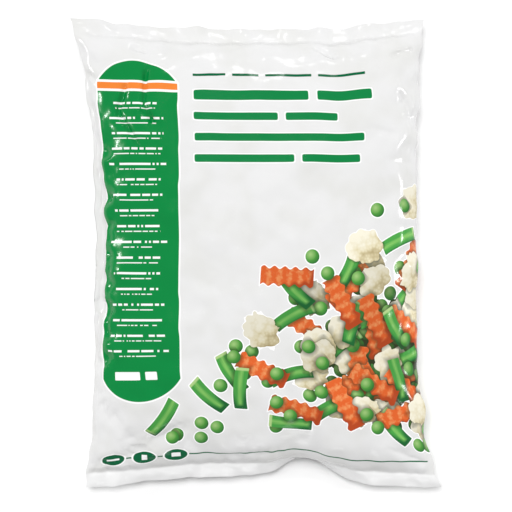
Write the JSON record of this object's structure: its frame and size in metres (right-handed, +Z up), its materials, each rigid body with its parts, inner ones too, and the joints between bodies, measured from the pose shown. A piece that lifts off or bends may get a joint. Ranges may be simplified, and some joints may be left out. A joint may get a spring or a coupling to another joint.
{
  "type": "frozen vegetable bag",
  "caption": "Filled pillow bag of white printed film, heat sealed flat at both ends and lying on its back, for loose frozen vegetables.",
  "frame": {"origin": "bottom centre of the bounding box, on the surface that the bag lies on", "axes": "+X across the bag, +Y along the bag towards its top seal, +Z up out of the printed front"},
  "size_m": [0.336, 0.4236, 0.0647],
  "materials": {
    "film": "glossy white polyethylene film, printed in green with a picture of mixed vegetables"
  },
  "bodies": {
    "root": {"bag": "film"}
  },
  "joints": []
}
